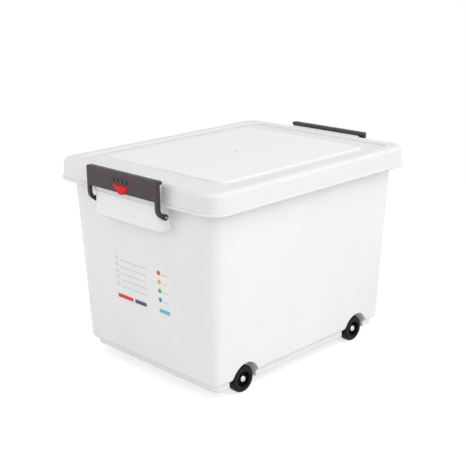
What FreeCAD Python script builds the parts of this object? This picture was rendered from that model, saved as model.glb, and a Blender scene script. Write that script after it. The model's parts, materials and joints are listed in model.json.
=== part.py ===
import FreeCAD, Part
import math
import os
import re
import Sketcher

# Rolling storage box with a sealed lid, a hinged latch at each end and four wheels.
# Millimetres. X is the width, Y the length and Z is up; the origin is on the floor under the box's middle.
# Each latch end is drawn at the -Y end and turned half a turn about Z for the +Y end.

SIZES = (
    ("lid_width", 400, "lid over its bead, along X"),
    ("lid_length", 508, "lid over its bead, along Y"),
    ("lid_corner", 36, "plan radius of the lid's corners over the bead"),
    ("lid_top", 367, "height of the lid's rim above the floor"),
    ("skirt_height", 36.5, "lid's skirt from its lower edge to the rim's top"),
    ("skirt_draft", 3, "lean of the skirt, in degrees"),
    ("skirt_wall", 2.6, "thickness of the skirt"),
    ("bead_reach", 3, "how far the bead stands out from the skirt"),
    ("bead_height", 5, "height of the bead along the skirt's lower edge"),
    ("bead_round", 2.2, "rounding of the bead's edges"),
    ("lid_round", 8, "rounding of the lid's top edge"),
    ("lid_plate", 2.8, "thickness of the lid's top"),
    ("rim_band", 24.5, "flat band of the lid's top, from the skirt to the channel"),
    ("rim_inner_corner", 26, "plan radius of the channel's outer corners"),
    ("channel_depth", 4, "how far the channel lies below the rim"),
    ("channel_side", 25, "width of the channel along the long sides"),
    ("channel_end", 45, "width of the channel along the short sides"),
    ("panel_corner", 18, "plan radius of the raised panel's corners"),
    ("panel_rise", 3.5, "how far the panel stands above the channel"),
    ("relief_round", 3.2, "rounding of the panel's and the channel's upper edges"),
    ("plug_depth", 16, "how far the lid's locating rib reaches below its top plate"),
    ("plug_gap", 3, "clearance between the locating rib and the tub's mouth"),
    ("rib_wall", 2.2, "thickness of the ribs under the lid's rim"),
    ("lug_width", 158, "latch lug of the lid, along X"),
    ("lug_reach", 7, "how far the lug stands out from the skirt"),
    ("lug_round", 5, "rounding of the lug's top edge, which the latch hooks over"),
    ("seal_width", 5.2, "width of the rubber seal"),
    ("seal_height", 6.5, "height of the rubber seal"),
    ("seal_play", 0.1, "side clearance of the seal in its groove"),
    ("body_base", 18, "height of the foot's lower edge above the floor"),
    ("foot_side_inset", 7.2, "foot ring inside the walls' lower edge, along X"),
    ("foot_end_inset", 11.6, "foot ring inside the walls' lower edge, along Y"),
    ("foot_corner", 10, "plan radius of the foot ring's corners"),
    ("foot_height", 11, "height of the foot ring"),
    ("foot_wall", 3, "thickness of the foot ring"),
    ("side_overhang", 18.4, "how far the lid's bead stands out past the tub's mouth, along X"),
    ("end_overhang", 15.5, "how far the lid's bead stands out past the tub's mouth, along Y"),
    ("low_corner", 15, "plan radius of the walls at the floor's underside"),
    ("lower_round", 10, "rounding of the walls' lower edge"),
    ("wall_draft", 2.95, "lean of the walls, in degrees"),
    ("body_wall", 2.8, "thickness of the walls"),
    ("floor_plate", 3, "thickness of the floor"),
    ("flange_reach", 6, "how far the rim flange stands out from the walls"),
    ("flange_plate", 3, "thickness of the rim flange"),
    ("flange_drop", 10, "height of the rim flange's turned-down lip"),
    ("rib_spacing", 70, "distance between the long ribs under the floor"),
    ("floor_rib", 2.5, "thickness of the ribs under the floor"),
    ("floor_rib_lift", 0.5, "how far the ribs stay above the foot's lower edge"),
    ("grip_width", 164, "end grip, along X"),
    ("grip_inset", 0.5, "how far the grip's front face lies behind the lid's lug"),
    ("grip_height", 44, "height of the end grip"),
    ("grip_wall", 3, "thickness of the grip's front and top"),
    ("grip_cheek", 6, "thickness of the grip's sides, which hold the pins"),
    ("grip_round", 8, "rounding of the grip's upright edges"),
    ("grip_lip_round", 6, "rounding of the grip's lower front edge"),
    ("grip_gap", 0.5, "clearance between the grip and the lid's lug"),
    ("pivot_inset", 17, "latch pivot, behind the latch plate's outer face"),
    ("pivot_drop", 17, "latch pivot, below the grip's top"),
    ("pin_diameter", 4, "latch pin"),
    ("pin_proud", 1, "how far the pin's end stands out from the latch arm"),
    ("pin_play", 0.05, "radial clearance of the latch pin"),
    ("latch_gap", 4.5, "clearance between the lid's lug and the latch plate"),
    ("latch_plate", 3.5, "thickness of the latch plate"),
    ("latch_height", 33.5, "height of the latch plate, with its hook"),
    ("latch_corner", 2.5, "rounding of the latch's upper corners and of the hook's ends"),
    ("latch_edge_round", 1.6, "rounding of the latch's outer edges, along its top and its ends"),
    ("hook_grip", 4.5, "how far the latch hook reaches behind the lug's face"),
    ("hook_bead", 6.6, "thickness of the latch hook"),
    ("hook_gap", 0.6, "clearance between the hook's bead and the lug's rounded edge"),
    ("hook_flat", 0.06, "flat left at the tip of the hook, between its two roundings"),
    ("arm_width", 6.5, "latch arm, along X"),
    ("arm_depth", 6, "latch arm, across its length"),
    ("arm_bend", 15.5, "bend radius of the latch arm at its middle line"),
    ("arm_fillet", 2, "rounding between the latch plate's lower edge and the arms"),
    ("arm_gap", 0.5, "side clearance between the latch arm and the grip"),
    ("eye_diameter", 10, "eye at the end of the latch arm"),
    ("clip_width", 44.3, "colour clip at its top, along X, before its corners are rounded"),
    ("clip_drop", 2.9, "how far the clip's tab reaches below the latch plate"),
    ("clip_height", 15.8, "height of the colour clip"),
    ("clip_tab", 10.4, "width of the clip's lower edge, before its corners are rounded"),
    ("clip_tab_round", 11, "rounding of the clip's lower corners"),
    ("clip_round", 2, "rounding of the clip's upper corners"),
    ("clip_recess", 2, "depth of the clip's seat in the latch plate"),
    ("clip_proud", 2.4, "how far the clip stands out from the latch plate"),
    ("clip_bevel", 1.7, "bevel round the clip's front"),
    ("clip_play", 0.25, "clearance round the clip"),
    ("clip_peg", 3, "diameter of the clip's two pegs"),
    ("clip_peg_spacing", 20, "distance between the clip's pegs"),
    ("clip_peg_inset", 4.5, "distance of the pegs below the clip's top"),
    ("clip_peg_reach", 1.2, "how far the pegs reach past the plate's back"),
    ("clip_peg_play", 0.05, "radial clearance of the pegs"),
    ("wheel_diameter", 48, "wheel over its tyre"),
    ("wheel_base", 298, "distance between the axles"),
    ("wheel_inset", 4.2, "tyre's outer face, inside the walls' lower edge"),
    ("tyre_width", 18, "width of the tyre"),
    ("tyre_round", 5, "rounding of the tyre's shoulders"),
    ("hub_diameter", 32, "seat of the tyre on the hub"),
    ("hub_rim", 2.4, "thickness of the hub's rim"),
    ("hub_inset", 1, "how far the hub's rim stays inside the tyre's faces"),
    ("hub_web", 3, "thickness of the hub's disc"),
    ("hub_recess", 8.5, "how far the hub's disc lies inside the tyre's outer face"),
    ("hub_boss", 12, "diameter of the hub's boss"),
    ("spoke_count", 8, "spokes on the hub's disc"),
    ("spoke_width", 1.6, "thickness of the spokes"),
    ("spoke_height", 2.6, "how far the spokes stand out of the disc"),
    ("tyre_play", 0.05, "radial clearance between the tyre and the hub"),
    ("axle_diameter", 6, "axle rod"),
    ("axle_play", 0.06, "radial clearance of the axle rod"),
    ("arch_gap", 8, "clearance between the tyre and the wheel arch"),
    ("arch_wall", 2.5, "thickness of the wheel arch"),
    ("arch_inset", 4, "clearance between the tyre and the arch's inner wall"),
    ("boss_gap", 0.5, "end clearance of the hub on its axle"),
    ("cap_diameter", 12, "axle cap"),
    ("cap_height", 5, "height of the axle cap's dome"),
    ("cap_round", 3.6, "rounding of the axle cap's dome"),
    ("cap_seat", 3.2, "how far the axle reaches into its cap"),
    ("cap_play", 0.02, "radial clearance of the cap on the axle"),
)

# Values worked out from the sizes; each may use the ones above it.
DERIVED = (
    ("skirt_bottom", "lid_top - skirt_height"),
    ("skirt_x", "lid_width / 2 - bead_reach"),
    ("skirt_y", "lid_length / 2 - bead_reach"),
    ("skirt_corner", "lid_corner - bead_reach"),
    ("skirt_lean", "skirt_height * tan(skirt_draft)"),
    ("skirt_in_x", "skirt_x - skirt_lean - skirt_wall"),
    ("skirt_in_y", "skirt_y - skirt_lean - skirt_wall"),
    ("skirt_in_corner", "skirt_corner - skirt_lean - skirt_wall"),
    ("channel_out_x", "skirt_x - rim_band"),
    ("channel_out_y", "skirt_y - rim_band"),
    ("channel_floor", "lid_top - channel_depth"),
    ("panel_x", "channel_out_x - channel_side"),
    ("panel_y", "channel_out_y - channel_end"),
    ("rim_under", "lid_top - lid_plate"),
    ("channel_under", "channel_floor - lid_plate"),
    ("floor_under", "body_base + foot_height"),
    ("floor_top", "floor_under + floor_plate"),
    ("mouth_top", "rim_under - seal_height"),
    ("wall_lean", "tan(wall_draft)"),
    ("mouth_lean", "wall_lean * (mouth_top - floor_under)"),
    ("mouth_x", "lid_width / 2 - side_overhang"),
    ("mouth_y", "lid_length / 2 - end_overhang"),
    ("mouth_corner", "low_corner + mouth_lean"),
    ("low_x", "mouth_x - mouth_lean"),
    ("low_y", "mouth_y - mouth_lean"),
    ("foot_x", "low_x - foot_side_inset"),
    ("foot_y", "low_y - foot_end_inset"),
    ("flange_x", "mouth_x + flange_reach"),
    ("flange_y", "mouth_y + flange_reach"),
    ("flange_corner", "mouth_corner + flange_reach"),
    ("seal_mid", "(flange_reach - body_wall) / 2"),
    ("seal_x", "mouth_x + seal_mid + seal_width / 2"),
    ("seal_y", "mouth_y + seal_mid + seal_width / 2"),
    ("seal_corner", "mouth_corner + seal_mid + seal_width / 2"),
    ("plug_inset", "body_wall + plug_gap"),
    ("lug_face", "skirt_y + lug_reach"),
    ("grip_reach", "lug_face - grip_inset"),
    ("grip_top", "skirt_bottom - grip_gap"),
    ("grip_bottom", "grip_top - grip_height"),
    ("grip_back", "low_y + wall_lean * (grip_top - floor_under)"),
    ("latch_face", "lug_face + latch_gap + latch_plate"),
    ("hook_depth", "latch_plate + latch_gap + hook_grip"),
    ("pivot_reach", "latch_face - pivot_inset"),
    ("pivot_height", "grip_top - pivot_drop"),
    ("arm_in", "grip_width / 2 + arm_gap"),
    ("arm_out", "arm_in + arm_width"),
    ("bead_middle_y", "latch_face - hook_depth + hook_bead / 2"),
    ("bead_reach_up", "lug_round + hook_bead / 2 + hook_gap"),
    ("bead_offset", "bead_middle_y - lug_face + lug_round"),
    ("bead_rise", "sqrt(bead_reach_up * bead_reach_up - bead_offset * bead_offset)"),
    ("bead_middle_z", "lid_top - lug_round + bead_rise"),
    ("latch_top", "bead_middle_z + hook_bead / 2"),
    ("latch_bottom", "latch_top - latch_height"),
    ("arm_middle", "latch_face - arm_depth / 2"),
    ("arm_cosine", "1 - (arm_middle - pivot_reach) / arm_bend"),
    ("arm_start", "pivot_height + arm_bend * sqrt(1 - arm_cosine * arm_cosine)"),
    ("clip_bottom", "latch_bottom - clip_drop"),
    ("clip_seat_y", "latch_face - clip_recess"),
    ("clip_slope", "(clip_width - clip_tab) / 2 / clip_height"),
    ("clip_slant", "sqrt(1 + clip_slope * clip_slope)"),
    ("wheel_face", "low_x - wheel_inset"),
    ("axle_height", "wheel_diameter / 2"),
    ("axle_y", "wheel_base / 2"),
    ("arch_radius", "wheel_diameter / 2 + arch_gap"),
    ("arch_in", "wheel_face - tyre_width - arch_inset"),
    ("boss_start", "arch_in + boss_gap"),
    ("disc_face", "wheel_face - hub_recess"),
    ("cap_start", "disc_face + spoke_height + boss_gap"),
    ("axle_end", "cap_start + cap_seat"),
)

doc = FreeCAD.newDocument("storage_box")
sheet = doc.addObject("Spreadsheet::Sheet", "sizes")
for row, (alias, value, meaning) in enumerate(SIZES, start=1):
    sheet.set(f"A{row}", alias)
    sheet.set(f"B{row}", str(value))
    sheet.set(f"C{row}", meaning)
    sheet.setAlias(f"B{row}", alias)
doc.recompute()
CELL_NAMES = {alias for alias, value, meaning in SIZES}
DERIVED_NAMES = {name for name, formula in DERIVED}


def ref(formula):
    """Points each name in a formula at the cell or the derived value that holds it."""
    def holder(match):
        word = match.group(0)
        if word in CELL_NAMES:
            return "sizes." + word
        if word in DERIVED_NAMES:
            return "derived." + word
        return word
    return re.sub(r"[a-z_]+", holder, formula)


derived = doc.addObject("App::FeaturePython", "derived")
for name, formula in DERIVED:
    derived.addProperty("App::PropertyFloat", name, "Derived")
    derived.setExpression(name, ref(formula))
doc.recompute()


def number(name):
    """The value of a size or of a derived value."""
    return float(getattr(sheet if name in CELL_NAMES else derived, name))


def new_body(label):
    """An empty body of its own name."""
    body = doc.addObject("PartDesign::Body", label)
    body.Label = label
    return body


def new_sketch(body, name, role, level):
    """A sketch parallel to one of the body's origin planes, at a level along the plane's normal."""
    sketch = body.newObject("Sketcher::SketchObject", name)
    plane = next(feature for feature in body.Origin.OriginFeatures if feature.Role == role)
    sketch.AttachmentSupport = [(plane, "")]
    sketch.MapMode = "FlatFace"
    sketch.setExpression("AttachmentOffset.Base.z", ref(level))
    return sketch


def bind(sketch, first, formulas):
    """Names the sketch's last constraints and ties them to their formulas."""
    for index, formula in enumerate(formulas, start=first):
        name = f"size{index}"
        sketch.renameConstraint(index, name)
        sketch.setExpression("Constraints." + name, ref(formula))


def round_outline(sketch, half_x, half_y, radius):
    """Adds a rectangle with round corners about the sketch's origin."""
    far_x, far_y, turn = 150.0, 200.0, 25.0
    base = sketch.GeometryCount
    corners = ((1, -1, 270), (1, 1, 0), (-1, 1, 90), (-1, -1, 180))
    middles = [FreeCAD.Vector(sx * (far_x - turn), sy * (far_y - turn), 0) for sx, sy, start in corners]
    arcs = []
    for middle, (sx, sy, start) in zip(middles, corners):
        circle = Part.Circle(middle, FreeCAD.Vector(0, 0, 1), turn)
        arcs.append(Part.ArcOfCircle(circle, math.radians(start), math.radians(start + 90)))
    lines = [Part.LineSegment(arcs[i - 1].EndPoint, arcs[i].StartPoint) for i in range(4)]
    sketch.addGeometry(lines + arcs, False)
    line = [base, base + 1, base + 2, base + 3]
    arc = [base + 4, base + 5, base + 6, base + 7]
    joins = []
    for i in range(4):
        joins.append(Sketcher.Constraint("Tangent", line[i], 2, arc[i], 1))
        joins.append(Sketcher.Constraint("Tangent", arc[i - 1], 2, line[i], 1))
    joins += [Sketcher.Constraint("Horizontal", line[i]) for i in (0, 2)]
    joins += [Sketcher.Constraint("Vertical", line[i]) for i in (1, 3)]
    joins += [Sketcher.Constraint("Equal", arc[0], arc[i]) for i in (1, 2, 3)]
    sketch.addConstraint(joins)
    first = sketch.ConstraintCount
    sketch.addConstraint([
        Sketcher.Constraint("Radius", arc[0], turn),
        Sketcher.Constraint("DistanceX", -1, 1, line[1], 1, far_x),
        Sketcher.Constraint("DistanceX", line[3], 1, -1, 1, far_x),
        Sketcher.Constraint("DistanceY", -1, 1, line[2], 1, far_y),
        Sketcher.Constraint("DistanceY", line[0], 1, -1, 1, far_y),
    ])
    bind(sketch, first, (radius, half_x, half_x, half_y, half_y))


def corner_outline(sketch, corners):
    """Adds a closed outline of straight sides through corners given as pairs of formulas."""
    count = len(corners)
    base = sketch.GeometryCount
    spread = [FreeCAD.Vector(100, 0, 0)]
    turn = FreeCAD.Rotation(FreeCAD.Vector(0, 0, 1), 360.0 / count)
    for i in range(count):
        spread.append(turn.multVec(spread[-1]))
    sides = [Part.LineSegment(spread[i], spread[i + 1]) for i in range(count)]
    sketch.addGeometry(sides, False)
    sketch.addConstraint([
        Sketcher.Constraint("Coincident", base + i, 2, base + (i + 1) % count, 1) for i in range(count)
    ])
    first = sketch.ConstraintCount
    for i in range(count):
        sketch.addConstraint(Sketcher.Constraint("DistanceX", -1, 1, base + i, 1, spread[i].x))
        sketch.addConstraint(Sketcher.Constraint("DistanceY", -1, 1, base + i, 1, spread[i].y))
    bind(sketch, first, [formula for corner in corners for formula in corner])


def round_sketch(body, name, level, *outlines):
    """A level sketch of one or more rectangles with round corners, each half_x, half_y, radius."""
    sketch = new_sketch(body, name, "XY_Plane", level)
    for outline in outlines:
        round_outline(sketch, *outline)
    return sketch


def thinner(outline, wall):
    """A rectangle with round corners drawn in by a wall all round."""
    return [f"{half} - {wall}" for half in outline]


def pad(body, name, sketch, height, cut=False):
    """Raises a sketch by a height along its normal, as material or as a cut."""
    feature = body.newObject("PartDesign::Pocket" if cut else "PartDesign::Pad", name)
    feature.Profile = sketch
    if cut:
        feature.Reversed = True
    feature.setExpression("Length", ref(height))
    return feature


def lean_sides(body, name, angle, outward):
    """Leans the upright faces of the body's last feature, hinged at its lowest face."""
    doc.recompute()
    base = body.Tip
    floor = base.Shape.BoundBox.ZMin
    names = {f"Face{i}": face.BoundBox for i, face in enumerate(base.Shape.Faces, start=1)}
    feature = body.newObject("PartDesign::Draft", name)
    feature.Base = (base, [face for face, box in names.items() if not near(box.ZMin, box.ZMax)])
    feature.NeutralPlane = (base, [face for face, box in names.items() if near(box.ZMax, floor)])
    feature.Reversed = outward
    feature.setExpression("Angle", ref(angle))
    return feature


def block(body, name, x, y, z, cut=False):
    """A box between two formulas on each axis, as material or as a cut."""
    feature = body.newObject("PartDesign::SubtractiveBox" if cut else "PartDesign::AdditiveBox", name)
    for axis, side, (low, high) in zip("xyz", ("Length", "Width", "Height"), (x, y, z)):
        feature.setExpression("Placement.Base." + axis, ref(low))
        feature.setExpression(side, ref(f"({high}) - ({low})"))
    return feature


def rod(body, name, radius, x, y, z, cut=False):
    """A cylinder along X between two formulas, as material or as a cut."""
    kind = "SubtractiveCylinder" if cut else "AdditiveCylinder"
    feature = body.newObject("PartDesign::" + kind, name)
    feature.Placement.Rotation = FreeCAD.Rotation(FreeCAD.Vector(0, 1, 0), 90)
    low, high = x
    for axis, formula in zip("xyz", (low, y, z)):
        feature.setExpression("Placement.Base." + axis, ref(formula))
    feature.setExpression("Radius", ref(radius))
    feature.setExpression("Height", ref(f"({high}) - ({low})"))
    return feature


def soften(body, name, radius, wanted, bevel=False):
    """Rounds, or bevels, the edges of the body's last feature that pass a test."""
    doc.recompute()
    base = body.Tip
    edges = [f"Edge{i}" for i, edge in enumerate(base.Shape.Edges, start=1) if wanted(edge)]
    if not edges:
        raise RuntimeError(f"{body.Label}: no edge found for {name}")
    feature = body.newObject("PartDesign::Chamfer" if bevel else "PartDesign::Fillet", name)
    feature.Base = (base, edges)
    feature.setExpression("Size" if bevel else "Radius", ref(radius))
    return feature


def near(value, target):
    """True within a hundredth of a millimetre."""
    return abs(value - target) < 0.01


def flat_at(edge, height):
    """True for an edge that lies level at a height."""
    box = edge.BoundBox
    return near(box.ZMin, height) and near(box.ZMax, height)


def cut_body(body, name, tool):
    """Cuts one body by another."""
    feature = body.newObject("PartDesign::Boolean", name)
    feature.Type = "Cut"
    feature.setObjects([tool])
    return feature


def turn_round(body):
    """Turns a body drawn at the -Y end half a turn about Z, to the +Y end."""
    body.Placement.Rotation = FreeCAD.Rotation(FreeCAD.Vector(0, 0, 1), 180)


# The two signs along an axis, with a word for the names of features
SIDES = (("left", "-"), ("right", "+"))
ENDS = (("front", "-"), ("rear", "+"))


def span(sign, low, high):
    """A range of formulas on one side of the middle, lower bound first."""
    return (low, high) if sign == "+" else (f"-({high})", f"-({low})")


def arch_rods(body, radius, inner, cut):
    """Four cylinders about the wheels, from inside each arch to past the wall."""
    for side, x_sign in SIDES:
        for end, y_sign in ENDS:
            reach = span(x_sign, inner, "mouth_x")
            rod(body, f"{end}_{side}_arch", radius, reach, y_sign + "axle_y", "axle_height", cut)


def tub_space():
    """The space inside the walls, less the wheel arches that stand up into it."""
    space = new_body("tub_space")
    floor_lean = "wall_lean * floor_plate - body_wall"
    low = [f"{half} + {floor_lean}" for half in ("low_x", "low_y", "low_corner")]
    pad(space, "hollow", round_sketch(space, "floor_line", "floor_top", low), "mouth_top - floor_top")
    lean_sides(space, "hollow_lean", "wall_draft", outward=True)
    soften(space, "floor_edge", "lower_round - body_wall", lambda edge: flat_at(edge, number("floor_top")))
    arch_rods(space, "arch_radius + arch_wall", "arch_in - arch_wall", cut=True)
    return space


def foot_space():
    """The space inside the foot ring, less the arches and the long ribs under the floor."""
    space = new_body("foot_space")
    inner = thinner(("foot_x", "foot_y", "foot_corner"), "foot_wall")
    pad(space, "hollow", round_sketch(space, "ring_line", "body_base", inner), "foot_height")
    arch_rods(space, "arch_radius + arch_wall", "arch_in - arch_wall", cut=True)
    for place in (-1, 0, 1):
        rib_x = (f"{place} * rib_spacing - floor_rib / 2", f"{place} * rib_spacing + floor_rib / 2")
        rib_y = ("-foot_y", "foot_y")
        rib_z = ("body_base + floor_rib_lift", "floor_under")
        block(space, f"rib_{place + 2}", rib_x, rib_y, rib_z, cut=True)
    return space


def make_box_body():
    """The tub: tapered walls on a foot ring, rim flange, wheel arches and a finger grip at each end."""
    body = new_body("box_body")
    low = ("low_x", "low_y", "low_corner")
    pad(body, "walls", round_sketch(body, "low_line", "floor_under", low), "mouth_top - floor_under")
    lean_sides(body, "walls_lean", "wall_draft", outward=True)
    soften(body, "lower_edge", "lower_round", lambda edge: flat_at(edge, number("floor_under")))
    foot = ("foot_x", "foot_y", "foot_corner")
    pad(body, "foot", round_sketch(body, "foot_line", "body_base", foot), "foot_height + floor_plate")
    flange = ("flange_x", "flange_y", "flange_corner")
    shelf = round_sketch(body, "flange_line", "mouth_top - flange_plate", flange)
    pad(body, "flange", shelf, "flange_plate")
    lip = round_sketch(body, "lip_line", "mouth_top - flange_drop", flange, thinner(flange, "flange_plate"))
    pad(body, "flange_lip", lip, "flange_drop")
    for end, sign in ENDS:
        block(body, f"{end}_grip", ("-grip_width / 2", "grip_width / 2"),
              span(sign, "low_y / 2", "grip_reach"), ("grip_bottom", "grip_top"))

    def grip_corner(edge):
        box = edge.BoundBox
        upright = near(box.ZMin, number("grip_bottom")) and near(box.ZMax, number("grip_top"))
        return upright and near(abs(box.YMin), number("grip_reach"))

    soften(body, "grip_edges", "grip_round", grip_corner)

    def grip_lip(edge):
        return flat_at(edge, number("grip_bottom")) and abs(edge.CenterOfMass.y) > number("grip_back")

    soften(body, "grip_lips", "grip_lip_round", grip_lip)
    cut_body(body, "inside", tub_space())
    for end, sign in ENDS:
        inside_x = ("grip_cheek - grip_width / 2", "grip_width / 2 - grip_cheek")
        inside_y = span(sign, "grip_back", "grip_reach - grip_wall")
        inside_z = ("grip_bottom", "grip_top - grip_wall")
        block(body, f"{end}_finger_space", inside_x, inside_y, inside_z, cut=True)
        rod(body, f"{end}_pin_holes", "pin_diameter / 2 + pin_play", ("-grip_width / 2", "grip_width / 2"),
            sign + "pivot_reach", "pivot_height", cut=True)
    cut_body(body, "underside", foot_space())
    arch_rods(body, "arch_radius", "arch_in", cut=True)
    for end, sign in ENDS:
        rod(body, f"{end}_axle_holes", "axle_diameter / 2 + axle_play", ("-arch_in", "arch_in"),
            sign + "axle_y", "axle_height", cut=True)
    return body


def make_lid():
    """The lid: a skirt with a bead, a rim, channel and raised panel, ribs below and a lug at each end."""
    body = new_body("lid")
    skirt = ("skirt_x", "skirt_y", "skirt_corner")
    pad(body, "skirt", round_sketch(body, "skirt_line", "skirt_bottom", skirt), "skirt_height")
    lean_sides(body, "skirt_lean", "skirt_draft", outward=False)
    soften(body, "top_edge", "lid_round", lambda edge: flat_at(edge, number("lid_top")))
    bead = ("lid_width / 2", "lid_length / 2", "lid_corner")
    pad(body, "bead", round_sketch(body, "bead_line", "skirt_bottom", bead), "bead_height")

    def bead_edge(edge):
        box = edge.BoundBox
        level = near(box.ZMin, box.ZMax)
        middle = edge.CenterOfMass
        far = max(abs(middle.x) - number("skirt_x"), abs(middle.y) - number("skirt_y"))
        round_part = round_edges(number("lid_corner"))(edge)
        return level and (round_part or far > 0.5 * number("bead_reach"))

    soften(body, "bead_edges", "bead_round", bead_edge)
    for end, sign in ENDS:
        block(body, f"{end}_lug", ("-lug_width / 2", "lug_width / 2"),
              span(sign, "channel_out_y", "lug_face"), ("skirt_bottom", "lid_top"))

    def lug_edge(edge):
        return flat_at(edge, number("lid_top")) and near(abs(edge.CenterOfMass.y), number("lug_face"))

    soften(body, "lug_edges", "lug_round", lug_edge)
    inside = ("skirt_in_x", "skirt_in_y", "skirt_in_corner")
    below = round_sketch(body, "inside_line", "skirt_bottom", inside)
    pad(body, "inside", below, "rim_under - skirt_bottom", cut=True)
    rim_wall = ("channel_out_x + lid_plate", "channel_out_y + lid_plate", "rim_inner_corner + lid_plate")
    plate = round_sketch(body, "channel_plate_line", "channel_under", rim_wall)
    pad(body, "channel_plate", plate, "rim_under - channel_under")
    plug = [f"{half} - plug_inset" for half in ("mouth_x", "mouth_y", "mouth_corner")]
    ring = round_sketch(body, "plug_line", "channel_under - plug_depth", plug, thinner(plug, "rib_wall"))
    pad(body, "plug", ring, "rim_under - channel_under + plug_depth")
    outer = [f"{half} + seal_play + rib_wall" for half in ("seal_x", "seal_y", "seal_corner")]
    inner = [f"{half} - seal_width - seal_play" for half in ("seal_x", "seal_y", "seal_corner")]
    for word, wall in (("outer", outer), ("inner", inner)):
        rib = round_sketch(body, f"{word}_rib_line", "channel_under", wall, thinner(wall, "rib_wall"))
        pad(body, f"{word}_seal_rib", rib, "rim_under - channel_under")
    well = ("channel_out_x", "channel_out_y", "rim_inner_corner")
    sunk = round_sketch(body, "channel_line", "channel_floor", well)
    pad(body, "channel", sunk, "channel_depth", cut=True)
    panel = ("panel_x", "panel_y", "panel_corner")
    pad(body, "panel", round_sketch(body, "panel_line", "channel_floor", panel), "panel_rise")
    under = round_sketch(body, "panel_hollow_line", "channel_under", thinner(panel, "lid_plate"))
    pad(body, "panel_hollow", under, "panel_rise", cut=True)

    def relief_edge(edge):
        middle = edge.CenterOfMass
        inner_x = abs(middle.x) < number("skirt_x") - 0.5 * number("rim_band")
        inner_y = abs(middle.y) < number("skirt_y") - 0.5 * number("rim_band")
        on_rim = flat_at(edge, number("lid_top")) and inner_x and inner_y
        return on_rim or flat_at(edge, number("channel_floor") + number("panel_rise"))

    soften(body, "relief_edges", "relief_round", relief_edge)
    for end, sign in ENDS:
        block(body, f"{end}_lug_hollow", ("skirt_wall - lug_width / 2", "lug_width / 2 - skirt_wall"),
              span(sign, "skirt_in_y - skirt_wall", "lug_face - skirt_wall"),
              ("skirt_bottom", "lid_top - lug_round"), cut=True)
    return body


def make_seal():
    """The rubber ring between the lid's groove and the tub's rim."""
    body = new_body("lid_seal")
    outer = ("seal_x", "seal_y", "seal_corner")
    ring = round_sketch(body, "ring_line", "mouth_top", outer, thinner(outer, "seal_width"))
    pad(body, "ring", ring, "seal_height")
    return body


def clip_corners(play):
    """The clip's outline: a level top and sides that run in to a narrow tab."""
    right = [
        (f"clip_tab / 2 + {play} * (clip_slant - clip_slope)", f"clip_bottom - {play}"),
        (f"clip_width / 2 + {play} * (clip_slant + clip_slope)", f"clip_bottom + clip_height + {play}"),
    ]
    return right + [(f"-({x})", z) for x, z in reversed(right)]


def make_latch(label):
    """A latch: a plate hooked at its top, with a bent arm and eye at each end and a seat for the clip."""
    body = new_body(label)
    profile = new_sketch(body, "plate_line", "YZ_Plane", "-arm_out")
    back = "latch_plate - latch_face"
    tip = "hook_depth - latch_face"
    corner_outline(profile, (
        ("-latch_face", "latch_bottom"),
        (back, "latch_bottom"),
        (back, "latch_top - hook_bead"),
        (tip, "latch_top - hook_bead"),
        (tip, "latch_top"),
        ("-latch_face", "latch_top"),
    ))
    pad(body, "plate", profile, "2 * arm_out")

    def tip_edge(edge):
        box = edge.BoundBox
        across = near(box.YMin, box.YMax) and near(box.ZMin, box.ZMax)
        return across and near(box.YMin, number("hook_depth") - number("latch_face"))

    soften(body, "hook_tip", "(hook_bead - hook_flat) / 2", tip_edge)

    def end_edge(edge):
        box = edge.BoundBox
        at_end = near(box.XMin, box.XMax) and near(abs(box.XMin), number("arm_out"))
        return at_end and flat_at(edge, number("latch_top"))

    soften(body, "plate_corners", "latch_corner", end_edge)
    section = new_sketch(body, "arm_section", "XY_Plane", "arm_start")
    section.setExpression("AttachmentOffset.Base.y", ref("arm_bend - arm_middle"))
    for side, sign in SIDES:
        low, high = span(sign, "arm_in", "arm_out")
        near_y, far_y = "-arm_bend - arm_depth / 2", "arm_depth / 2 - arm_bend"
        corner_outline(section, ((low, near_y), (high, near_y), (high, far_y), (low, far_y)))
        block(body, f"{side}_arm", (low, high), ("-latch_face", "arm_depth - latch_face"),
              ("arm_start", "latch_top - hook_bead / 2"))
    bend = body.newObject("PartDesign::Revolution", "arm_bends")
    bend.Profile = section
    bend.ReferenceAxis = (section, ["H_Axis"])
    bend.setExpression("Angle", ref("acos(arm_cosine)"))
    for side, sign in SIDES:
        reach = span(sign, "arm_in", "arm_out")
        rod(body, f"{side}_eye", "eye_diameter / 2", reach, "-pivot_reach", "pivot_height")
        hole = "pin_diameter / 2 + pin_play"
        rod(body, f"{side}_eye_hole", hole, reach, "-pivot_reach", "pivot_height", cut=True)

    def arm_corner(edge):
        box = edge.BoundBox
        at_arm = near(box.XMin, box.XMax) and near(abs(box.XMin), number("arm_in"))
        return at_arm and flat_at(edge, number("latch_bottom"))

    soften(body, "arm_corners", "arm_fillet", arm_corner)
    seat = new_sketch(body, "clip_seat_line", "XZ_Plane", "clip_seat_y")
    corner_outline(seat, clip_corners("clip_play"))
    pad(body, "clip_seat", seat, "clip_recess", cut=True)

    def seat_corner(edge):
        box = edge.BoundBox
        across = near(box.XMin, box.XMax) and near(box.ZMin, box.ZMax)
        above = box.ZMin > number("latch_bottom") and not near(box.ZMin, number("latch_bottom"))
        return across and above and near(box.YMax, -number("clip_seat_y"))

    soften(body, "clip_seat_corners", "clip_round + clip_play", seat_corner)
    for side, sign in SIDES:
        hole = body.newObject("PartDesign::SubtractiveCylinder", f"{side}_peg_hole")
        peg_place(hole, sign, "clip_peg / 2 + clip_peg_play", "latch_plate - clip_recess")

    def face_edge(edge):
        box = edge.BoundBox
        outer = near(box.YMin, -number("latch_face")) and near(box.YMax, -number("latch_face"))
        at_top = flat_at(edge, number("latch_top"))
        at_end = near(abs(box.XMin), number("arm_out")) and near(abs(box.XMax), number("arm_out"))
        return outer and (at_top or at_end)

    soften(body, "face_edges", "latch_edge_round", face_edge)
    return body


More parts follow.
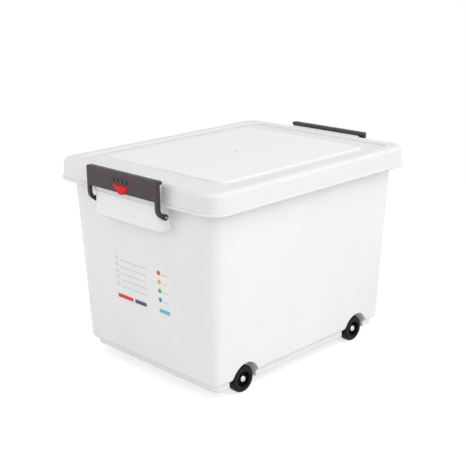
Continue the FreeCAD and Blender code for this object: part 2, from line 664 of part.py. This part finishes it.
def peg_place(feature, sign, radius, depth):
    """Places a peg, or its hole, along Y behind the clip."""
    feature.Placement.Rotation = FreeCAD.Rotation(FreeCAD.Vector(1, 0, 0), -90)
    feature.setExpression("Placement.Base.x", ref(sign + "clip_peg_spacing / 2"))
    feature.setExpression("Placement.Base.y", ref("-clip_seat_y"))
    feature.setExpression("Placement.Base.z", ref("clip_bottom + clip_height - clip_peg_inset"))
    feature.setExpression("Radius", ref(radius))
    feature.setExpression("Height", ref(depth))


def make_clip(label):
    """A colour clip: a shield-shaped marker with two pegs that push into the latch plate."""
    body = new_body(label)
    shape = new_sketch(body, "shield_line", "XZ_Plane", "clip_seat_y")
    corner_outline(shape, clip_corners("0"))
    pad(body, "shield", shape, "clip_recess + clip_proud")

    def corner_at(height):
        def wanted(edge):
            box = edge.BoundBox
            return near(box.XMin, box.XMax) and near(box.ZMin, height) and near(box.ZMax, height)
        return wanted

    soften(body, "upper_corners", "clip_round", corner_at(number("clip_bottom") + number("clip_height")))
    soften(body, "lower_corners", "clip_tab_round", corner_at(number("clip_bottom")))
    front = number("clip_proud") + number("latch_face")
    soften(body, "front_bevel", "clip_bevel", lambda edge: near(edge.BoundBox.YMax, -front), bevel=True)
    for side, sign in SIDES:
        peg = body.newObject("PartDesign::AdditiveCylinder", f"{side}_peg")
        peg_place(peg, sign, "clip_peg / 2", "latch_plate - clip_recess + clip_peg_reach")
    return body


def place_wheel_part(body, x_sign, y_sign):
    """Puts a wheel piece, drawn about X with its outer face towards +X, at its corner of the box."""
    if x_sign == "-":
        body.Placement.Rotation = FreeCAD.Rotation(FreeCAD.Vector(0, 0, 1), 180)
    body.setExpression("Placement.Base.y", ref(y_sign + "axle_y"))
    body.setExpression("Placement.Base.z", ref("axle_height"))


def round_edges(radius):
    """A test for edges that are circles of a radius."""
    return lambda edge: edge.Curve.TypeId == "Part::GeomCircle" and near(edge.Curve.Radius, radius)


def make_tyre(label):
    """A tyre: a ring with rounded shoulders."""
    body = new_body(label)
    width = ("wheel_face - tyre_width", "wheel_face")
    rod(body, "tread", "wheel_diameter / 2", width, "0", "0")
    rod(body, "seat", "hub_diameter / 2 + tyre_play", width, "0", "0", cut=True)
    soften(body, "shoulders", "tyre_round", round_edges(number("wheel_diameter") / 2))
    return body


def make_hub(label):
    """A hub: a rim and a boss joined by a spoked disc."""
    body = new_body(label)
    rim = ("wheel_face - tyre_width + hub_inset", "wheel_face - hub_inset")
    rod(body, "rim", "hub_diameter / 2", rim, "0", "0")
    bowl = "hub_diameter / 2 - hub_rim"
    rod(body, "outer_recess", bowl, ("disc_face", "wheel_face"), "0", "0", cut=True)
    hidden = ("wheel_face - tyre_width", "disc_face - hub_web")
    rod(body, "inner_recess", bowl, hidden, "0", "0", cut=True)
    spoke = block(body, "spoke", ("disc_face - hub_web", "disc_face + spoke_height"),
                  ("-spoke_width / 2", "spoke_width / 2"), ("0", "hub_diameter / 2 - hub_rim / 2"))
    spokes = body.newObject("PartDesign::PolarPattern", "spokes")
    spokes.Originals = [spoke]
    axis = next(feature for feature in body.Origin.OriginFeatures if feature.Role == "X_Axis")
    spokes.Axis = (axis, [""])
    spokes.Angle = 360
    spokes.setExpression("Occurrences", ref("spoke_count"))
    body.Tip = spokes
    rod(body, "boss", "hub_boss / 2", ("boss_start", "disc_face + spoke_height"), "0", "0")
    rod(body, "bore", "axle_diameter / 2 + axle_play", ("boss_start", "wheel_face"), "0", "0", cut=True)
    return body


def make_cap(label):
    """A domed cap pushed onto the axle's end."""
    body = new_body(label)
    rod(body, "dome", "cap_diameter / 2", ("cap_start", "cap_start + cap_height"), "0", "0")
    rim_x = number("cap_start") + number("cap_height")
    soften(body, "crown", "cap_round", lambda edge: near(edge.BoundBox.XMin, rim_x))
    rod(body, "socket", "axle_diameter / 2 + cap_play", ("cap_start", "axle_end"), "0", "0", cut=True)
    return body


def make_axle(label, y_sign):
    """A plain rod across the box, through the wheel arches and the long ribs."""
    body = new_body(label)
    rod(body, "bar", "axle_diameter / 2", ("-axle_end", "axle_end"), y_sign + "axle_y", "axle_height")
    return body


def make_pin(label, x_sign, y_sign):
    """A latch pin, from the grip's cheek to just past the latch arm."""
    body = new_body(label)
    reach = span(x_sign, "grip_width / 2 - grip_cheek", "arm_out + pin_proud")
    rod(body, "shank", "pin_diameter / 2", reach, y_sign + "pivot_reach", "pivot_height")
    return body


nodes = [make_box_body(), make_lid(), make_seal()]
for end, y_sign in ENDS:
    latch = make_latch(f"{end}_latch")
    clip = make_clip(f"{end}_colour_clip")
    if end == "rear":
        turn_round(latch)
        turn_round(clip)
    nodes += [latch, clip, make_axle(f"{end}_axle", y_sign)]
    for side, x_sign in SIDES:
        nodes.append(make_pin(f"{end}_{side}_latch_pin", x_sign, y_sign))
        for make, word in ((make_tyre, "tyre"), (make_hub, "hub"), (make_cap, "axle_cap")):
            piece = make(f"{end}_{side}_{word}")
            place_wheel_part(piece, x_sign, y_sign)
            nodes.append(piece)
doc.recompute()

for item in doc.Objects:
    if "Invalid" in item.State or "Error" in item.State:
        raise RuntimeError(f"{item.Label} did not build")
for node in nodes:
    shape = node.Shape
    if shape.isNull() or not shape.isValid() or len(shape.Solids) != 1:
        raise RuntimeError(f"{node.Label} is not one valid solid")

os.makedirs("parts", exist_ok=True)
for node in nodes:
    node.Shape.exportStep(f"parts/{node.Label}.step")
    box = node.Shape.optimalBoundingBox(False)
    reach = f"X {box.XMin:.1f} to {box.XMax:.1f}, Y {box.YMin:.1f} to {box.YMax:.1f}"
    print(f"{node.Label}: {node.Shape.Volume / 1000:.1f} cm3, {reach}, Z {box.ZMin:.1f} to {box.ZMax:.1f}")
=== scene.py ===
"""Looks of a rolling storage box: plastics, rubber, steel, the print on its front, and a plain studio."""

import json
import math

import bmesh
import bpy
from mathutils import Matrix, Vector
from mathutils.bvhtree import BVHTree


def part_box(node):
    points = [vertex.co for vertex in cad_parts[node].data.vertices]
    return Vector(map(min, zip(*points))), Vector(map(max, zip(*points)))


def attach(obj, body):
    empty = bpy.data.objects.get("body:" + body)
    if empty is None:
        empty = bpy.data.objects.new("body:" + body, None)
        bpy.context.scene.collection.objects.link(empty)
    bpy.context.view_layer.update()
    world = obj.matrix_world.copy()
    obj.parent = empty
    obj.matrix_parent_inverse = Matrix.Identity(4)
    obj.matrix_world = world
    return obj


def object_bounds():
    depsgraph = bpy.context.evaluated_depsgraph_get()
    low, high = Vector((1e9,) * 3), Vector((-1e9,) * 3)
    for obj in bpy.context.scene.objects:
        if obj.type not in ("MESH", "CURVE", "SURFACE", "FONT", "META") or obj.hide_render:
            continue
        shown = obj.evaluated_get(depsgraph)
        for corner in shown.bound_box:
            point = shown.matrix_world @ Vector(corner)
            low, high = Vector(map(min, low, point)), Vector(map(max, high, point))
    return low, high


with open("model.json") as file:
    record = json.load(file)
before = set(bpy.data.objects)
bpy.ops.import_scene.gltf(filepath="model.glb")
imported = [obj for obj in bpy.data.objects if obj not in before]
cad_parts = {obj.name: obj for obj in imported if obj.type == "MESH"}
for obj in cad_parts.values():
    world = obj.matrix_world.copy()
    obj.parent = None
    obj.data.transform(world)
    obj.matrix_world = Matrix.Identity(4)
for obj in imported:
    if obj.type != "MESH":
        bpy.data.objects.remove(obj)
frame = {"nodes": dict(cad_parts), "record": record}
cad_low, cad_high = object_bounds()
nodes = frame["nodes"]
slot_colour = {row["slot"]: row["base_color"] for row in frame["record"]["materials"]}
slot_of_node = {row["node"]: row["material_slot"] for row in frame["record"]["subparts"]}

MM = 0.001


# Shader nodes

def feed(tree, node, socket, value):
    """Links an output to that input of a node, or sets the input to a plain value."""
    if isinstance(value, bpy.types.NodeSocket):
        tree.links.new(node.inputs[socket], value)
    else:
        node.inputs[socket].default_value = value


def add_node(tree, kind, values=None, **settings):
    """A new node of that kind, with its settings and the values of its inputs."""
    node = tree.nodes.new("ShaderNode" + kind)
    for name, value in settings.items():
        setattr(node, name, value)
    for socket, value in (values or {}).items():
        feed(tree, node, socket, value)
    return node


# Finishes

NOISE_LOW = 0.35
NOISE_HIGH = 0.65


class Finish:
    """A material with one Principled shader, and procedural detail laid out in the piece's own metres."""

    def __init__(self, name, values):
        self.material = bpy.data.materials.new(name)
        self.material.use_nodes = True
        self.tree = self.material.node_tree
        self.shader = self.tree.nodes["Principled BSDF"]
        self.place = self.add("TexCoord").outputs["Object"]
        self.normal = None
        for socket, value in values.items():
            self.set(socket, value)

    def set(self, socket, value):
        """Gives an input of the shader a plain value or an output."""
        feed(self.tree, self.shader, socket, value)

    def add(self, kind, values=None, **settings):
        return add_node(self.tree, kind, values, **settings)

    def noise(self, size, detail=2.0, stretch=(1, 1, 1)):
        """Noise from 0 to 1, with features about size metres across, drawn out along an axis by stretch."""
        scale = [1 / (size * times) for times in stretch]
        laid = self.add("Mapping", {"Vector": self.place, "Scale": scale})
        values = {"Vector": laid.outputs["Vector"], "Scale": 1.0, "Detail": detail}
        return self.add("TexNoise", values).outputs["Fac"]

    def number(self, factor, first, second, low=NOISE_LOW, high=NOISE_HIGH):
        """A number that goes from first to second as the factor goes from low to high."""
        values = {"Value": factor, "From Min": low, "From Max": high, "To Min": first, "To Max": second}
        return self.add("MapRange", values).outputs["Result"]

    def colour(self, factor, first, second, low=NOISE_LOW, high=NOISE_HIGH):
        """A colour that goes from first to second as the factor goes from low to high."""
        ramp = self.add("ValToRGB", {"Fac": factor})
        for stop, place, tone in zip(ramp.color_ramp.elements, (low, high), (first, second)):
            stop.position = place
            stop.color = (*tone, 1)
        return ramp.outputs["Color"]

    def middle(self, half_x, half_y, blend):
        """In plan, 1 out to half_x and half_y from the origin, and 0 from a blend's width beyond."""
        split = self.add("SeparateXYZ", {"Vector": self.place})
        beyond = []
        for axis, half in (("X", half_x), ("Y", half_y)):
            size = self.add("Math", {0: split.outputs[axis]}, operation="ABSOLUTE").outputs[0]
            beyond.append(self.add("Math", {0: size, 1: half}, operation="SUBTRACT").outputs[0])
        furthest = self.add("Math", {0: beyond[0], 1: beyond[1]}, operation="MAXIMUM").outputs[0]
        return self.number(furthest, 1.0, 0.0, low=0.0, high=blend)

    def edge(self, radius):
        """0 on flat stretches, rising towards 1 on edges and corners within that radius."""
        rounded = self.add("Bevel", {"Radius": radius}, samples=4).outputs["Normal"]
        plain = self.add("NewGeometry").outputs["Normal"]
        agreement = self.add("VectorMath", {0: rounded, 1: plain}, operation="DOT_PRODUCT").outputs["Value"]
        return self.number(agreement, 1.0, 0.0, low=0.7, high=1.0)

    def relief(self, height, depth):
        """Lays bumps of that depth, in metres, over the relief that is there already."""
        bump = self.add("Bump", {"Height": height, "Distance": depth})
        if self.normal is not None:
            feed(self.tree, bump, "Normal", self.normal)
        self.normal = bump.outputs["Normal"]
        self.set("Normal", self.normal)


def shade(colour, times):
    """The colour made lighter or darker."""
    return tuple(min(1.0, channel * times) for channel in colour)


def milky_plastic(name, weight, depth):
    """Polypropylene that light enters to that depth: satin, soft-edged, wavy and finely grained."""
    finish = Finish(name, {
        "Subsurface Weight": weight,
        "Subsurface Radius": (1.0, 1.0, 0.95),
        "Subsurface Scale": depth,
        "Specular IOR Level": 0.45,
        "IOR": 1.49,
    })
    finish.set("Roughness", finish.number(finish.noise(25 * MM), 0.46, 0.56))
    finish.normal = finish.add("Bevel", {"Radius": 2.5 * MM}, samples=8).outputs["Normal"]
    finish.relief(finish.noise(60 * MM, detail=1.0), depth=0.25 * MM)
    finish.relief(finish.noise(0.7 * MM), depth=0.012 * MM)
    return finish


def natural_plastic():
    """The tub's plastic, slightly clouded."""
    base = slot_colour["natural_plastic"]
    finish = milky_plastic("natural_plastic", weight=0.35, depth=6 * MM)
    clouds = finish.noise(90 * MM, detail=3.0, stretch=(1, 1, 1.8))
    finish.set("Base Color", finish.colour(clouds, shade(base, 0.97), base))
    return finish.material


HOLLOW_HALF_X = 144 * MM
HOLLOW_HALF_Y = 178 * MM
HOLLOW_BLEND = 14 * MM


def lid_plastic():
    """The lid's plastic, with painted shade: greyer over the rim, where it lies on the tub and lets less
    light through, than over the hollow inside.
    """
    base = slot_colour["natural_plastic"]
    finish = milky_plastic("lid_plastic", weight=0.15, depth=2 * MM)
    hollow_without_painted_shade = finish.middle(HOLLOW_HALF_X, HOLLOW_HALF_Y, HOLLOW_BLEND)
    # The rim's grey is painted shade, for the dimmer light that comes through the plastic where the lid
    # lies on the tub.
    tone = finish.colour(hollow_without_painted_shade, shade(base, 0.88), shade(base, 0.97), low=0.0, high=1.0)
    finish.set("Base Color", tone)
    return finish.material


def charcoal_plastic():
    """Matt plastic with a spark-eroded texture, and painted shade darkening its edges."""
    base = slot_colour["charcoal_plastic"]
    finish = Finish("charcoal_plastic", {"Specular IOR Level": 0.28})
    edges = finish.edge(1.8 * MM)
    # Painted shade: edges and corners are darkened, like the dark outlines that shading gives the latch.
    finish.set("Base Color", finish.colour(edges, shade(base, 0.84), shade(base, 0.33), low=0.1, high=0.8))
    finish.set("Roughness", finish.number(finish.noise(8 * MM), 0.42, 0.55))
    finish.relief(finish.noise(0.5 * MM, detail=3.0), depth=0.03 * MM)
    return finish.material


def red_plastic():
    """Smooth dyed plastic, with painted shade darkening it along its edges."""
    base = slot_colour["red_plastic"]
    finish = Finish("red_plastic", {
        "Specular IOR Level": 0.15,
        "Subsurface Weight": 0.05,
        "Subsurface Radius": (1.0, 0.3, 0.2),
        "Subsurface Scale": 1.5 * MM,
    })
    edges = finish.edge(1.0 * MM)
    # Painted shade: the clip is darkened along its edges and corners, like the shadow line at its top.
    finish.set("Base Color", finish.colour(edges, base, shade(base, 0.6), low=0.1, high=0.8))
    finish.set("Roughness", finish.number(finish.noise(3 * MM), 0.26, 0.36))
    finish.relief(finish.noise(0.4 * MM), depth=0.008 * MM)
    return finish.material


def seal_rubber():
    """Pale silicone with a bloom of fine dust."""
    base = slot_colour["seal_rubber"]
    finish = Finish("seal_rubber", {
        "Subsurface Weight": 0.2,
        "Subsurface Radius": (1.0, 1.0, 1.0),
        "Subsurface Scale": 2 * MM,
    })
    dust = finish.noise(5 * MM, detail=4.0)
    finish.set("Base Color", finish.colour(dust, shade(base, 0.94), base))
    finish.set("Roughness", finish.number(dust, 0.5, 0.7))
    finish.relief(finish.noise(0.6 * MM), depth=0.02 * MM)
    return finish.material


def tyre_rubber():
    """Hard dark rubber with greyer, duller scuffs."""
    base = slot_colour["tyre_rubber"]
    finish = Finish("tyre_rubber", {"Specular IOR Level": 0.13})
    scuffs = finish.noise(4 * MM, detail=5.0, stretch=(0.4, 1, 1))
    finish.set("Base Color", finish.colour(scuffs, shade(base, 0.5), shade(base, 1.1), low=0.45, high=0.8))
    finish.set("Roughness", finish.number(scuffs, 0.36, 0.55))
    finish.relief(finish.noise(0.5 * MM, detail=3.0), depth=0.03 * MM)
    return finish.material


def black_plastic():
    """Satin black nylon with a fine grain, paler on its edges: partly wear, partly a painted highlight."""
    base = slot_colour["black_plastic"]
    finish = Finish("black_plastic", {"Specular IOR Level": 0.15})
    wear_and_highlight = finish.edge(0.8 * MM)
    # Paler edges: partly wear, partly a painted highlight along the rounded edges.
    finish.set("Base Color", finish.colour(wear_and_highlight, shade(base, 0.7), shade(base, 2.5), low=0.1, high=0.9))
    finish.set("Roughness", finish.number(finish.noise(2 * MM), 0.38, 0.5))
    finish.relief(finish.noise(0.4 * MM, detail=3.0), depth=0.02 * MM)
    return finish.material


def plated_steel():
    """Zinc plating: drawing lines along X and a faint mottle."""
    base = slot_colour["plated_steel"]
    finish = Finish("plated_steel", {"Metallic": 1.0})
    mottle = finish.noise(2.5 * MM, detail=4.0)
    lines = finish.noise(0.35 * MM, stretch=(30, 1, 1))
    finish.set("Base Color", finish.colour(mottle, shade(base, 0.9), shade(base, 1.2)))
    finish.set("Roughness", finish.number(lines, 0.25, 0.42))
    finish.relief(lines, depth=0.01 * MM)
    return finish.material


def print_ink(name, colour):
    """Screen ink: slightly uneven cover and a satin sheen."""
    finish = Finish(name, {"Specular IOR Level": 0.4})
    cover = finish.noise(0.9 * MM, detail=4.0)
    finish.set("Base Color", finish.colour(cover, colour, shade(colour, 1.18), low=0.4, high=0.75))
    finish.set("Roughness", finish.number(cover, 0.45, 0.6))
    finish.relief(cover, depth=0.006 * MM)
    return finish.material


def dress_nodes():
    """Gives the lid its own finish, and each other solid the finish of its material slot."""
    makers = (natural_plastic, lid_plastic, charcoal_plastic, red_plastic, seal_rubber, tyre_rubber,
              black_plastic, plated_steel)
    finishes = {maker.__name__: maker() for maker in makers}
    for name, node in nodes.items():
        node.data.materials.clear()
        node.data.materials.append(finishes["lid_plastic" if name == "lid" else slot_of_node[name]])
    return finishes


# Plates on a front face

ARC_STEPS = 6
CAST_DISTANCE = 1.0
INK_LIFT = 0.03 * MM
INK_DEPTH = 0.05 * MM
ROUND_END = 0.45


def face_frame(name, low, high):
    """Place on the front of a node between two heights: X across, Y up its face and Z out of it."""
    node = nodes[name]
    surface = BVHTree.FromObject(node, bpy.context.evaluated_depsgraph_get())
    inward = node.matrix_world.inverted()
    ends = []
    for height in (low, high):
        start = inward @ Vector((0, cad_low.y - CAST_DISTANCE, height))
        hit = surface.ray_cast(start, inward.to_3x3() @ Vector((0, 1, 0)))[0]
        ends.append(node.matrix_world @ hit)
    across = Vector((1, 0, 0))
    up = (ends[1] - ends[0]).normalized()
    out = across.cross(up)
    middle = (ends[0] + ends[1]) / 2
    return Matrix.Translation(middle) @ Matrix((across, up, out)).transposed().to_4x4()


def rounded_plate(mesh, x, y, width, height, corner, low_z=INK_LIFT, high_z=INK_LIFT + INK_DEPTH):
    """Adds a plate with round corners, centred at x, y, from low_z to high_z over the face."""
    outline = []
    for turn, (sx, sy) in enumerate(((1, 1), (-1, 1), (-1, -1), (1, -1))):
        for step in range(ARC_STEPS + 1):
            angle = math.radians(90 * (turn + step / ARC_STEPS))
            outline.append((x + sx * (width / 2 - corner) + corner * math.cos(angle),
                            y + sy * (height / 2 - corner) + corner * math.sin(angle)))
    low = [mesh.verts.new((px, py, low_z)) for px, py in outline]
    high = [mesh.verts.new((px, py, high_z)) for px, py in outline]
    mesh.faces.new(high)
    mesh.faces.new(reversed(low))
    for here in range(len(outline)):
        after = (here + 1) % len(outline)
        mesh.faces.new((low[here], low[after], high[after], high[here]))


def add_piece(name, mesh, material):
    """An object of that mesh and material."""
    data = bpy.data.meshes.new(name)
    mesh.to_mesh(data)
    mesh.free()
    data.materials.append(material)
    piece = bpy.data.objects.new(name, data)
    bpy.context.scene.collection.objects.link(piece)
    return piece


# Print on the front wall

PRINT_WIDTH = 134 * MM
PRINT_HEIGHT = 90 * MM
PRINT_MIDDLE = 175 * MM
RULE = 0.7 * MM

LINES = 5
LINE_TOP = 12 * MM
LINE_SPACING = 12 * MM
LINE_MIDDLE = 46 * MM
LINE_LENGTH = 68 * MM
BOX = 6 * MM
BOX_SIDE = BOX - 2.2 * RULE

DOT = 8 * MM
DOT_INSET = 22 * MM
DOT_TOP = 14 * MM
DOT_SPACING = 16 * MM
DOT_RULE = 14 * MM
DOT_TO_RULE = 14 * MM
DOT_INKS = ("red", "amber", "green", "blue")

BAR = 7 * MM
BAR_RISE = 8 * MM
BAR_CORNER = 1 * MM
BAR_PLACES = {"red": 20 * MM, "slate": 60 * MM, "sky": 121 * MM}
BAR_LENGTHS = {"red": 40 * MM, "slate": 30 * MM, "sky": 26 * MM}

INKS = {
    "grey": (0.36, 0.36, 0.37),
    "sky": (0.17, 0.45, 0.68),
    "slate": (0.045, 0.07, 0.17),
    "red": (0.60, 0.03, 0.035),
    "amber": (0.74, 0.36, 0.05),
    "green": (0.10, 0.33, 0.12),
    "blue": (0.05, 0.19, 0.48),
}


def rule(mesh, x, y, width, height=RULE):
    """Adds a line with round ends."""
    rounded_plate(mesh, x, y, width, height, min(width, height) * ROUND_END)


def tick_box(mesh, x, y):
    """Adds a square outline of four rules, its sides between its top and its foot."""
    half = (BOX - RULE) / 2
    for side in (-1, 1):
        rule(mesh, x, y + side * half, BOX)
        rule(mesh, x + side * half, y, RULE, BOX_SIDE)


def draw_print():
    """A write-on card: ruled lines with tick boxes, a column of colour dots, and bars along the foot."""
    left = -PRINT_WIDTH / 2
    right = PRINT_WIDTH / 2
    top = PRINT_HEIGHT / 2
    meshes = {ink: bmesh.new() for ink in INKS}
    for row in range(LINES):
        y = top - LINE_TOP - row * LINE_SPACING
        rule(meshes["grey"], left + LINE_MIDDLE, y - BOX / 2, LINE_LENGTH)
        tick_box(meshes["grey"], left + BOX / 2, y)
    for ink, place in BAR_PLACES.items():
        rounded_plate(meshes[ink], left + place, BAR_RISE - top, BAR_LENGTHS[ink], BAR, BAR_CORNER)
    for row, ink in enumerate(DOT_INKS):
        x = right - DOT_INSET
        y = top - DOT_TOP - row * DOT_SPACING
        rounded_plate(meshes[ink], x, y, DOT, DOT, DOT / 2)
        rule(meshes["grey"], x + DOT_TO_RULE, y - DOT / 4, DOT_RULE)
    wall = face_frame("box_body", PRINT_MIDDLE - top, PRINT_MIDDLE + top)
    for ink, mesh in meshes.items():
        mesh.transform(wall)
        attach(add_piece("print_" + ink, mesh, print_ink("ink_" + ink, INKS[ink])), "tub")


# Gate mark on the lid

PANEL_DROP = 0.5 * MM
GATE_RADIUS = 5 * MM
GATE_SHARES = (0.55, 0.7, 0.85, 1.0)
GATE_HEIGHTS = (0.15 * MM, 0.45 * MM, 0.45 * MM, -0.05 * MM)
GATE_STEPS = 48


def gate_mark(finishes):
    """The ring that the moulding gate leaves in the middle of the lid's panel."""
    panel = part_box("lid")[1].z - PANEL_DROP
    mesh = bmesh.new()
    rings = []
    for share, height in zip(GATE_SHARES, GATE_HEIGHTS):
        ring = []
        for step in range(GATE_STEPS):
            angle = 2 * math.pi * step / GATE_STEPS
            x = GATE_RADIUS * share * math.cos(angle)
            y = GATE_RADIUS * share * math.sin(angle)
            ring.append(mesh.verts.new((x, y, panel + height)))
        rings.append(ring)
    mesh.faces.new(rings[0])
    for inner, outer in zip(rings, rings[1:]):
        for step in range(GATE_STEPS):
            after = (step + 1) % GATE_STEPS
            mesh.faces.new((inner[step], outer[step], outer[after], inner[after]))
    mesh.faces.new(reversed(rings[-1]))
    piece = add_piece("lid_gate_mark", mesh, finishes["lid_plastic"])
    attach(piece, "lid")


# Ridges on the front latch

RIDGES = 4
RIDGE_WIDTH = 2.4 * MM
RIDGE_HEIGHT = 8 * MM
RIDGE_SPACING = 10.5 * MM
RIDGE_ABOVE_CLIP = 8 * MM
RIDGE_SUNK = 0.2 * MM
RIDGE_PROUD = 0.4 * MM


def finger_ridges(finishes):
    """A row of short upright ridges over the clip, in the black finish so that they show dark: painted
    shade.
    """
    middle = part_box("front_colour_clip")[1].z + RIDGE_ABOVE_CLIP
    corner = RIDGE_WIDTH * ROUND_END
    mesh = bmesh.new()
    for place in range(RIDGES):
        x = (place - (RIDGES - 1) / 2) * RIDGE_SPACING
        rounded_plate(mesh, x, 0, RIDGE_WIDTH, RIDGE_HEIGHT, corner, -RIDGE_SUNK, RIDGE_PROUD)
    mesh.transform(face_frame("front_latch", middle - RIDGE_HEIGHT / 2, middle + RIDGE_HEIGHT / 2))
    # The black finish on the ridges is painted shade: they stand for embossing in the latch's own plastic,
    # which shows dark only by its shading.
    piece = add_piece("latch_ridges", mesh, finishes["black_plastic"])
    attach(piece, "front_latch")


# Studio

FRAME_PIXELS = 466
FOCAL_PIXELS = 952.24
SENSOR = 36.0
CAMERA_PLACE = Vector((1.1673, -1.1942, 0.7293))
CAMERA_TARGET = Vector((-0.0098, 0.0, 0.2108))
CAMERA_ROLL = math.radians(-0.47)

WHITE = (1, 1, 1, 1)
AMBIENT = 0.70
FLOOR_SIZE = 6.0
FADE_START = 0.6
FADE_END = 1.5
FLOOR_COLOUR = (0.66, 0.66, 0.66, 1)
SHADOW_COLOUR = (0.50, 0.50, 0.50, 1)
FLOOR_GLOW = 0.69

# Each softbox has its name, its place, its width and its watts.
SOFTBOXES = (
    ("right_softbox", (1.7, 0.5, 2.0), 2.0, 25.0),
    ("fill_softbox", (2.4, -0.9, 0.8), 1.4, 14.0),
    ("front_softbox", (-1.3, -1.6, 0.6), 1.0, 10.5),
)


def seen_directly(tree):
    """1 where the camera looks, straight, in a gloss or through plastic, and 0 for light on the object."""
    rays = add_node(tree, "LightPath").outputs
    seen = rays["Is Camera Ray"]
    for name in ("Is Glossy Ray", "Is Transmission Ray"):
        seen = add_node(tree, "Math", {0: seen, 1: rays[name]}, operation="MAXIMUM").outputs[0]
    return seen


def make_world():
    """White where it is seen, and an even dimmer light on the object."""
    world = bpy.data.worlds.new("studio")
    world.use_nodes = True
    bpy.context.scene.world = world
    tree = world.node_tree
    strength = add_node(tree, "MapRange", {"Value": seen_directly(tree), "To Min": AMBIENT, "To Max": 1.0})
    background = tree.nodes["Background"]
    feed(tree, background, "Color", WHITE)
    feed(tree, background, "Strength", strength.outputs["Result"])


def floor_material():
    """Pale for light on the object. Where it is seen, a glow lifts it to white outside the shadow."""
    material = bpy.data.materials.new("pale_floor")
    material.use_nodes = True
    tree = material.node_tree
    tree.nodes.remove(tree.nodes["Principled BSDF"])
    pale = add_node(tree, "BsdfDiffuse", {"Color": FLOOR_COLOUR}).outputs[0]
    shadow = add_node(tree, "BsdfDiffuse", {"Color": SHADOW_COLOUR}).outputs[0]
    glow = add_node(tree, "Emission", {"Strength": FLOOR_GLOW}).outputs[0]
    clear = add_node(tree, "BsdfTransparent").outputs[0]
    seen = add_node(tree, "AddShader", {0: shadow, 1: glow}).outputs[0]
    surface = add_node(tree, "MixShader", {0: seen_directly(tree), 1: pale, 2: seen}).outputs[0]
    place = add_node(tree, "TexCoord").outputs["Object"]
    distance = add_node(tree, "VectorMath", {0: place}, operation="LENGTH").outputs["Value"]
    span = {"Value": distance, "From Min": FADE_START, "From Max": FADE_END}
    fade = add_node(tree, "MapRange", span, interpolation_type="SMOOTHSTEP").outputs["Result"]
    faded = add_node(tree, "MixShader", {0: fade, 1: surface, 2: clear}).outputs[0]
    feed(tree, tree.nodes["Material Output"], "Surface", faded)
    return material


def make_floor():
    """A pale floor that keeps the shadow and fades into the white around it."""
    bpy.ops.mesh.primitive_plane_add(size=FLOOR_SIZE)
    floor = bpy.context.object
    floor.name = "floor"
    floor.data.materials.append(floor_material())


def make_lights():
    """Large softboxes, each turned to the middle of the box."""
    middle = (cad_low + cad_high) / 2
    for name, place, width, watts in SOFTBOXES:
        lamp = bpy.data.lights.new(name, "AREA")
        lamp.shape = "SQUARE"
        lamp.size = width
        lamp.energy = watts
        holder = bpy.data.objects.new(name, lamp)
        holder.location = place
        holder.rotation_euler = (middle - Vector(place)).to_track_quat("-Z", "Y").to_euler()
        bpy.context.scene.collection.objects.link(holder)


def make_camera():
    """The photograph's viewpoint and focal length."""
    data = bpy.data.cameras.new("camera")
    data.sensor_width = SENSOR
    data.lens = SENSOR * FOCAL_PIXELS / FRAME_PIXELS
    camera = bpy.data.objects.new("camera", data)
    back = (CAMERA_PLACE - CAMERA_TARGET).normalized()
    level = Vector((0, 0, 1)).cross(back).normalized()
    upright = back.cross(level)
    right = level * math.cos(CAMERA_ROLL) + upright * math.sin(CAMERA_ROLL)
    up = back.cross(right)
    turned = Matrix((right, up, back)).transposed().to_4x4()
    camera.matrix_world = Matrix.Translation(CAMERA_PLACE) @ turned
    bpy.context.scene.collection.objects.link(camera)
    bpy.context.scene.camera = camera


finishes = dress_nodes()
draw_print()
gate_mark(finishes)
finger_ridges(finishes)
make_world()
make_floor()
make_lights()
make_camera()
bpy.context.scene.view_settings.view_transform = "Standard"
